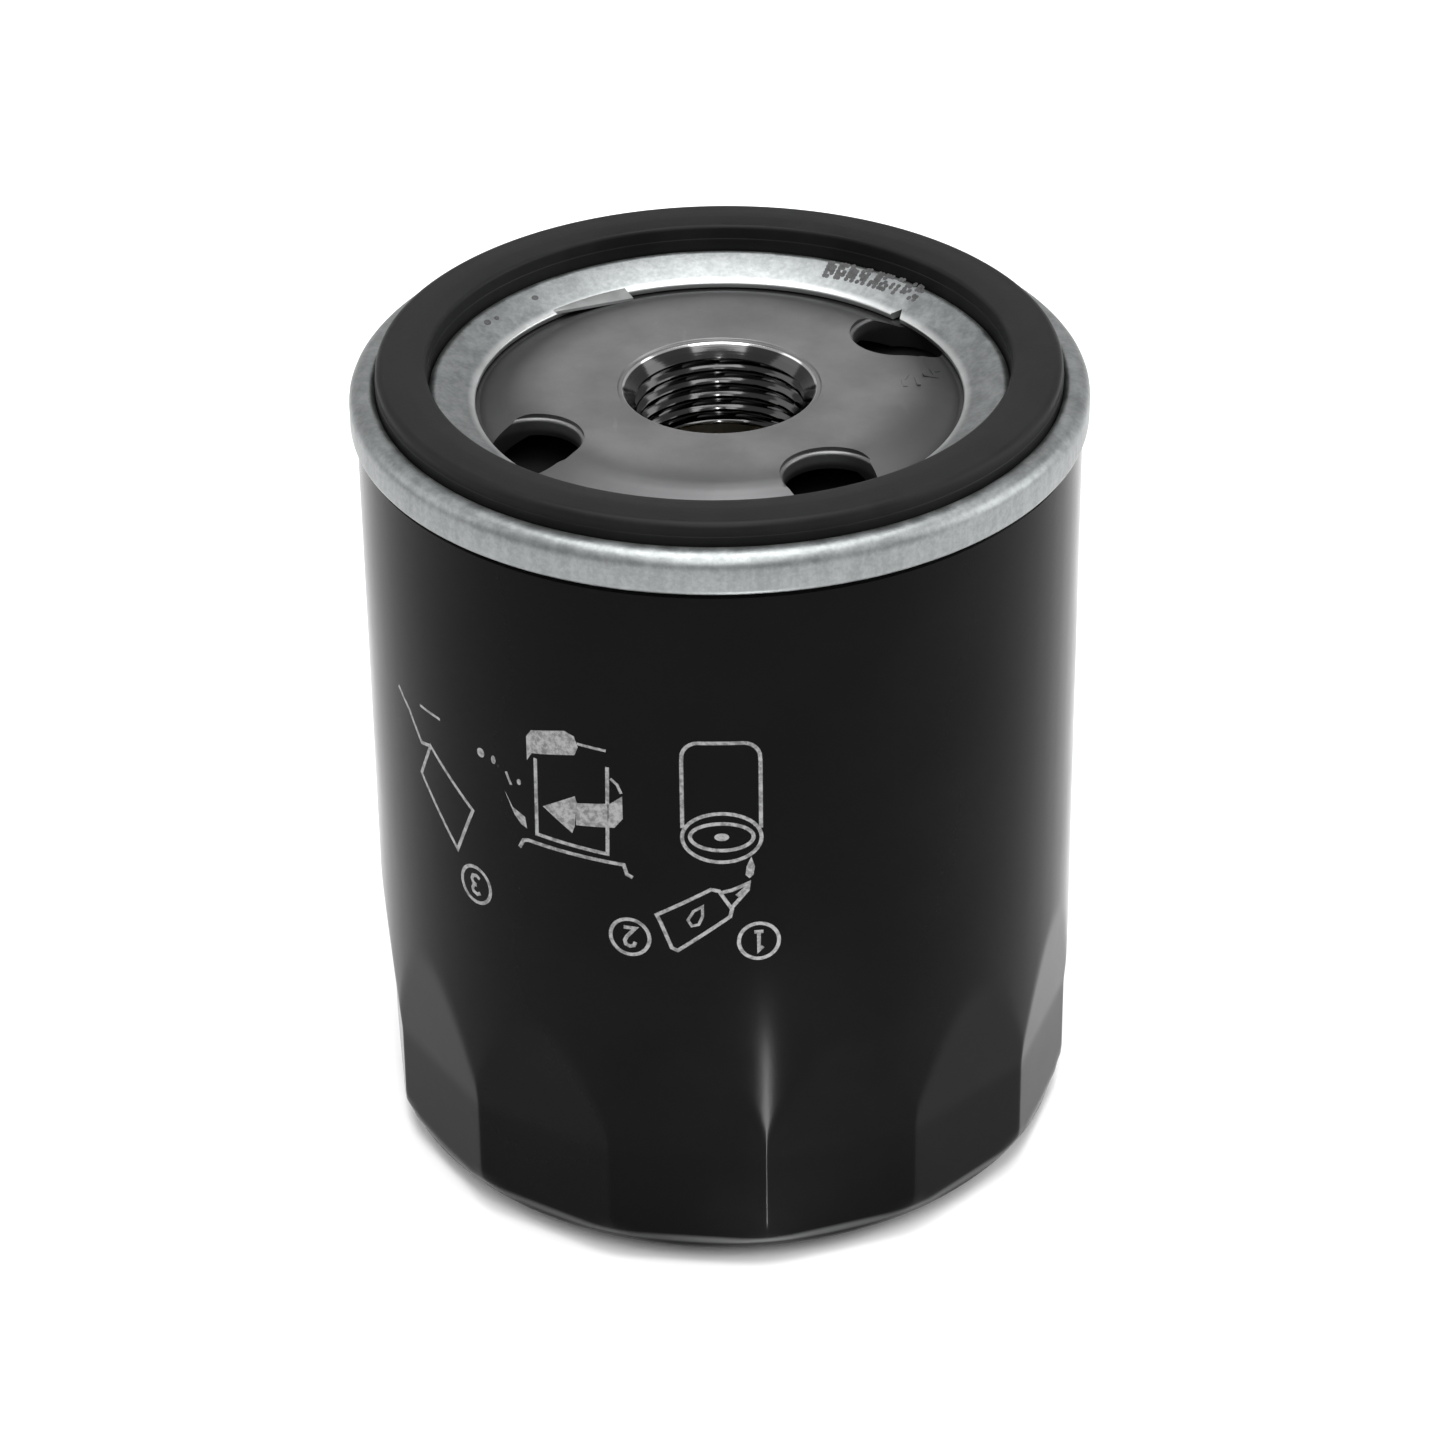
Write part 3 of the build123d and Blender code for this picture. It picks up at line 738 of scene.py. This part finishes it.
def build_gasket():
    """Square-section ring with soft edges and a faint mould line on its outer wall."""
    low, high = gasket_low, gasket_top
    outline = rounded([
        (gasket_inner, low, 0.5),
        (gasket_radius, low, 0.5),
        (gasket_radius, high - 1.5, 0.1),
        (gasket_radius - 0.06, high - 1.4, 0.1),
        (gasket_radius - 0.06, high, 0.8),
        (gasket_inner + 2.2, high, 6.0),
        (gasket_inner + 0.05, high - 0.12, 0.45),
        (gasket_inner + 0.05, high - 1.6, 0.1),
        (gasket_inner, high - 1.7, 0.1),
    ], 6)
    piece = lathe("gasket_ring", outline)
    dress(piece, MATERIALS["gasket_rubber"])
    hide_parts("sealing_gasket")


build_gasket()

THREAD_PITCH = 25.4 / 16
THREAD_DEPTH = 0.68
COLLAR_RADIUS = 11.0
SLEEVE_INNER = COLLAR_RADIUS + 0.1
SLEEVE_OUTER = 12.5
VALVE_SEAT = 27.6


def thread_radius(azimuth, radius, height):
    """Cut the 60 degree thread into the bore; it fades out at both mouths."""
    if abs(radius - thread_minor) > 0.02:
        return radius, height
    phase = (height / THREAD_PITCH + azimuth / 360) % 1
    groove = max(0.0, min(1.0, (0.5 - abs(phase - 0.5)) * 2.6 - 0.25))
    mouth = min(1.0, max(0.0, (bore_top - height) / 0.5), max(0.0, (height - bore_bottom) / 0.3))
    return radius + THREAD_DEPTH * groove * mouth, height


lip_level = plate_top - 0.2
bore_bottom = collar_low + 0.4
bore_top = lip_level - (10.1 - thread_minor)
INLETS = (-59.7, 30.3, 120.3)
INLET_RADIUS = 4.8
INLET_PITCH = 21.9


def build_plate():
    """The base plate with its drawn lip, threaded collar and three inlet holes."""
    body = rounded([
        (thread_minor + 0.4, collar_low, 0.1),
        (COLLAR_RADIUS, collar_low, 0.3),
        (COLLAR_RADIUS, plate_top - plate_thickness, 0.8),
        (plateau_radius - 0.6, plate_top - plate_thickness, 0.5),
        (flange_radius - 0.6, flange_low, 0.5),
        (plate_radius, flange_low, 0.2),
        (plate_radius, flange_top, 0.3),
        (flange_radius, flange_top, 0.8),
        (plateau_radius, plate_top, 6.0),
        (13.0, plate_top, 2.0),
        (10.55, lip_level + 0.1, 0.12),
        (10.45, lip_level - 0.12, 0.05),
        (10.05, lip_level - 0.12, 0.05),
        (thread_minor, bore_top, 0.1),
    ], 6)
    bore = dense([(thread_minor, bore_top - 0.05), (thread_minor, bore_bottom)], THREAD_PITCH / 14)
    piece = lathe("plate_threaded", body + bore, None, thread_radius, 40)
    for azimuth in INLETS:
        flare = 0.35
        low = flange_low - 1
        top = plate_level(INLET_PITCH)
        hole = [(0, low), (INLET_RADIUS, low), (INLET_RADIUS, top - flare)]
        hole += [
            (INLET_RADIUS + flare - flare * cos(radians(a)), top - flare + flare * sin(radians(a)))
            for a in range(15, 91, 15)
        ]
        hole += [(INLET_RADIUS + flare, top + 2), (0, top + 2)]
        cutter = lathe("inlet_cutter", hole, [index * 360 / 64 for index in range(64)])
        x, y = spoke(INLET_PITCH, azimuth)
        cutter.location = (x * MM, y * MM, 0)
        bpy.context.view_layer.update()
        cut(piece, cutter)
    dress(piece, MATERIALS["drawn_steel"])
    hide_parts("base_plate")


build_plate()

# ---- moving rubber and spring -------------------------------------------------------------


def build_diaphragm():
    """The anti-drain valve: a sleeve on the collar and a thin lip against the base plate."""
    low = flange_low
    seat = low - 0.06
    outline = rounded([
        (SLEEVE_INNER, valve_low, 0.2),
        (SLEEVE_OUTER, valve_low, 0.3),
        (SLEEVE_OUTER, low - 4.8, 1.0),
        (14.4, low - 3.3, 2.0),
        (20.0, low - 2.5, 3.0),
        (26.6, low - 1.4, 2.0),
        (valve_radius, low - 0.8, 0.3),
        (valve_radius, seat, 0.15),
        (VALVE_SEAT, seat, 0.3),
        (26.4, low - 0.5, 0.6),
        (20.0, low - 1.4, 3.0),
        (13.6, low - 1.9, 0.5),
        (SLEEVE_INNER, low - 2.4, 0.2),
    ], 5)
    piece = lathe("drain_diaphragm", dense(outline + outline[:1], 1.5)[:-1])
    dress(piece, MATERIALS["valve_rubber"])
    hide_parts("anti_drain_valve")
    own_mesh(piece)


def build_bypass_spring():
    """The bypass valve's coil spring, with its end coils closed up."""
    wire = 0.38
    radius = 5.0
    turns = 6.5
    spring_low, spring_high = extent("bypass_spring")[1:]
    low = spring_low + wire + 0.02
    high = spring_high - wire - 0.02
    path = []
    for step in range(int(turns * 32) + 1):
        share = step / (turns * 32)
        eased = share - 0.11 * sin(2 * pi * share)
        path.append((*spoke(radius, turns * 360 * share), low + (high - low) * eased))
    piece = tube_along("bypass_coil", path, wire)
    dress(piece, MATERIALS["spring_steel"])
    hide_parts("bypass_spring")
    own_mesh(piece)


build_diaphragm()
build_bypass_spring()

# ---- print and marks ----------------------------------------------------------------------


def stroke(points, width, closed=False):
    """The quads of a drawn line of a width along points, with mitred corners."""
    places = [Vector(point) for point in points]
    last = len(places) - 1
    sides = []
    for index, place in enumerate(places):
        before = places[index - 1] if index > 0 or closed else None
        after = places[(index + 1) % len(places)] if index < last or closed else None
        into = (place - before).normalized() if before else (after - place).normalized()
        out = (after - place).normalized() if after else into
        normal = Vector((-into.y - out.y, into.x + out.x)).normalized()
        reach = width / 2 / max(0.4, normal.dot(Vector((-into.y, into.x))))
        sides.append((place + normal * reach, place - normal * reach))
    pairs = list(zip(sides, sides[1:])) + ([(sides[-1], sides[0])] if closed else [])
    return [(a[0], b[0], b[1], a[1]) for a, b in pairs]


def ring(x, y, half_width, half_height, steps=40):
    """Points of an ellipse."""
    angles = [2 * pi * step / steps for step in range(steps)]
    return [(x + half_width * cos(a), y + half_height * sin(a)) for a in angles]


def applied(name, shapes, place, material):
    """Ink laid on a surface: flat shapes (x, y) cut into small pieces, then carried to it by place."""
    work = bmesh.new()
    for shape in shapes:
        work.faces.new([work.verts.new((point[0], point[1], 0)) for point in shape])
    bmesh.ops.remove_doubles(work, verts=work.verts, dist=0.0005)
    bmesh.ops.recalc_face_normals(work, faces=work.faces)
    low = min(vertex.co.x for vertex in work.verts)
    high = max(vertex.co.x for vertex in work.verts)
    for line in range(int(low / 0.5), int(high / 0.5) + 1):
        everything = work.verts[:] + work.edges[:] + work.faces[:]
        bmesh.ops.bisect_plane(work, geom=everything, plane_co=(line * 0.5, 0, 0), plane_no=(1, 0, 0))
    flat = work.faces[:]
    grown = bmesh.ops.extrude_face_region(work, geom=flat)
    for item in grown["geom"]:
        if isinstance(item, bmesh.types.BMVert):
            item.co.z = 1.0
    for vertex in work.verts:
        x, y, z = place(vertex.co.x, vertex.co.y, vertex.co.z)
        vertex.co = (x * MM, y * MM, z * MM)
    bmesh.ops.recalc_face_normals(work, faces=work.faces)
    mesh = bpy.data.meshes.new(name)
    work.to_mesh(mesh)
    work.free()
    piece = bpy.data.objects.new(name, mesh)
    bpy.context.scene.collection.objects.link(piece)
    return dress(piece, material)


def on_can(x, y, lift):
    """x is the distance around the can from its front and y the height."""
    radius = can_radius - 0.03 + 0.05 * lift
    return radius * sin(x / can_radius), -radius * cos(x / can_radius), y


PRINT_LINE = 0.40
FINE_LINE = 0.3
DIGITS = {
    1: [[(-0.35, 0.55), (0.0, 0.9), (0.0, -0.9)], [(-0.4, -0.9), (0.4, -0.9)]],
    2: [[(-0.5, 0.45), (-0.36, 0.8), (0, 0.92), (0.38, 0.76), (0.48, 0.4), (0.28, 0.0), (-0.5, -0.9),
         (0.55, -0.9)]],
    3: [[(-0.5, 0.7), (-0.1, 0.92), (0.35, 0.78), (0.46, 0.45), (0.3, 0.12), (-0.05, 0.02)],
        [(-0.05, 0.02), (0.35, -0.12), (0.5, -0.45), (0.35, -0.8), (-0.1, -0.92), (-0.5, -0.7)]],
}


def step_number(digit, x, y):
    """A ringed step number, upside down like the rest of the print."""
    shapes = stroke(ring(x, y, 2.05, 2.15), PRINT_LINE, closed=True)
    for line in DIGITS[digit]:
        shapes += stroke([(x - a * 1.15, y - b * 1.25) for a, b in line], PRINT_LINE)
    applied(f"print_number_{digit}", shapes, on_can, INKS["grey"])


def print_oiling():
    """First drawing: a bottle drips oil on the gasket of an upturned filter."""
    top = [(-4.3, 56.0), (-4.3, 63.8)]
    top += [(-2.6 - 1.7 * cos(radians(a)), 64.3 + 1.8 * sin(radians(a))) for a in range(15, 91, 15)]
    shapes = stroke(top + [(-x - 0.7, y) for x, y in reversed(top)], PRINT_LINE)
    shapes += stroke(ring(-0.35, 54.9, 4.0, 2.9), PRINT_LINE, closed=True)
    shapes += stroke(ring(-0.35, 55.0, 3.2, 1.6), PRINT_LINE, closed=True)
    shapes.append(ring(-0.35, 55.0, 0.75, 0.45, 16))
    shapes.append([(2.6, 52.6), (2.95, 51.4), (2.8, 50.4), (2.4, 50.0), (2.0, 50.4), (2.1, 51.4)])
    bottle = [
        (-7.1, 45.3), (-6.7, 44.4), (-5.6, 41.4), (-5.0, 41.1),
        (0.4, 45.4), (0.6, 46.3), (-0.7, 48.5), (-1.5, 48.7),
    ]
    shapes += stroke(bottle, PRINT_LINE, closed=True)
    spout = [(-0.6, 48.3), (0.6, 48.6), (2.3, 49.4), (2.2, 48.6), (1.2, 47.3), (0.5, 46.4)]
    shapes += stroke(spout, PRINT_LINE)
    shapes += stroke([(1.1, 47.9), (2.2, 49.0)], PRINT_LINE)
    drop = [(-2.4, 46.6), (-3.3, 46.0), (-3.9, 44.9), (-3.5, 44.2), (-2.8, 44.4), (-2.4, 45.4)]
    shapes += stroke(drop, FINE_LINE, closed=True)
    applied("print_oiling", shapes, on_can, INKS["grey"])


def print_turning():
    """Second drawing: a filter is turned on to its pad by hand."""
    shapes = stroke([(-19.9, 61.4), (-20.0, 52.3), (-12.1, 51.9), (-11.9, 62.3)], PRINT_LINE)
    shapes.append([
        (-20.9, 60.9), (-20.9, 63.7), (-20.3, 64.6), (-16.5, 65.6), (-15.4, 65.2), (-15.0, 64.0),
        (-15.4, 63.0),
        (-19.3, 62.1), (-20.3, 61.9),
    ])
    shapes += stroke([(-15.1, 64.4), (-12.0, 64.2)], FINE_LINE)
    shapes.append([(-19.2, 55.9), (-15.5, 58.1), (-15.3, 57.3), (-15.6, 54.5), (-15.9, 53.6)])
    shapes.append([(-15.35, 57.3), (-11.7, 58.0), (-10.4, 59.1), (-10.4, 56.4), (-11.3, 55.2), (-15.45, 54.65)])
    pad = [(-22.2, 50.0), (-21.7, 51.0), (-21.1, 51.2), (-10.4, 50.9), (-10.1, 49.8), (-9.5, 49.5)]
    shapes += stroke(pad, PRINT_LINE)
    shapes.append([(-23.9, 56.3), (-22.9, 54.6), (-21.4, 53.9), (-21.2, 52.6), (-21.9, 52.9), (-22.7, 53.8)])
    shapes += stroke([(-23.6, 58.6), (-23.0, 57.2)], FINE_LINE)
    shapes += stroke([(-11.6, 61.0), (-10.9, 60.4), (-10.5, 59.4)], FINE_LINE)
    spatters = ((-26.9, 59.6, 0.5, 0.55), (-25.2, 59.4, 0.3, 0.5), (-22.0, 57.9, 0.25, 0.35))
    shapes += [ring(*spatter, 12) for spatter in spatters]
    applied("print_turning", shapes, on_can, INKS["grey"])


def print_tightening():
    """Third drawing, near the left side: the tightening turn."""
    shapes = stroke([(-34.9, 56.8), (-28.4, 52.0), (-31.0, 46.1), (-36.9, 52.6)], PRINT_LINE, closed=True)
    shapes += stroke([(-41.2, 60.9), (-38.9, 59.2), (-36.6, 56.4), (-34.9, 56.8)], PRINT_LINE)
    shapes += stroke([(-36.6, 60.9), (-33.0, 60.9)], FINE_LINE)
    applied("print_tightening", shapes, on_can, INKS["grey"])


print_oiling()
print_turning()
print_tightening()
step_number(1, 3.3, 42.3)
step_number(2, -9.95, 42.2)
step_number(3, -28.4, 42.9)


LID_MARK_RADIUS = 29.0


def on_lid(x, y, lift):
    """x is a distance around the lid's annulus and y the radius."""
    azimuth = x / LID_MARK_RADIUS
    return y * sin(azimuth), -y * cos(azimuth), lid_level(y) - 0.01 + 0.03 * lift


def mark_lid():
    """Ink jet dots of a date code, in blocks that spell nothing, and two smudges."""
    dots = random.Random(7)
    shapes = []
    for block in range(9):
        start = radians(155.5 - 2.75 * block - 0.5 * dots.random()) * LID_MARK_RADIUS
        for column in range(3):
            for row in range(5):
                if dots.random() < 0.68:
                    x = start - column * 0.36
                    y = 27.3 + row * 0.42 + 0.05 * block
                    shapes.append(ring(x, y + 0.1 * dots.random(), 0.27, 0.28, 8))
    applied("lid_date_dots", shapes, on_lid, INKS["dark"])
    smudges = []
    for azimuth, radius, size in ((-120, 28.2, 0.5), (-123, 28.0, 0.35), (-135.5, 27.9, 0.45)):
        smudges.append(ring(radians(azimuth) * LID_MARK_RADIUS, radius, size, size * 0.7, 12))
    applied("lid_smudges", smudges, on_lid, INKS["dark"])


def stamp_plate():
    """Faint raised tool marks on the base plate, right of the thread."""
    shapes = stroke([(-1.9, 19.2), (-0.3, 19.0), (0.9, 19.5)], 0.45)
    shapes += stroke([(-1.5, 20.6), (0.2, 20.4)], 0.4)
    shapes += stroke([(0.9, 21.2), (1.5, 22.6), (2.6, 22.4), (3.2, 23.2)], 0.45)

    def on_plate(x, y, lift):
        azimuth = radians(92) + x / 21.0
        return y * sin(azimuth), -y * cos(azimuth), plate_level(y) - 0.04 + 0.1 * lift

    applied("plate_stamps", shapes, on_plate, MATERIALS["drawn_steel"])


mark_lid()
stamp_plate()

# ---- carried-over CAD nodes ---------------------------------------------------------------

for entry in frame["record"]["subparts"]:
    node = frame["nodes"][entry["node"]]
    node.data.materials.clear()
    node.data.materials.append(MATERIALS[entry["material_slot"]])
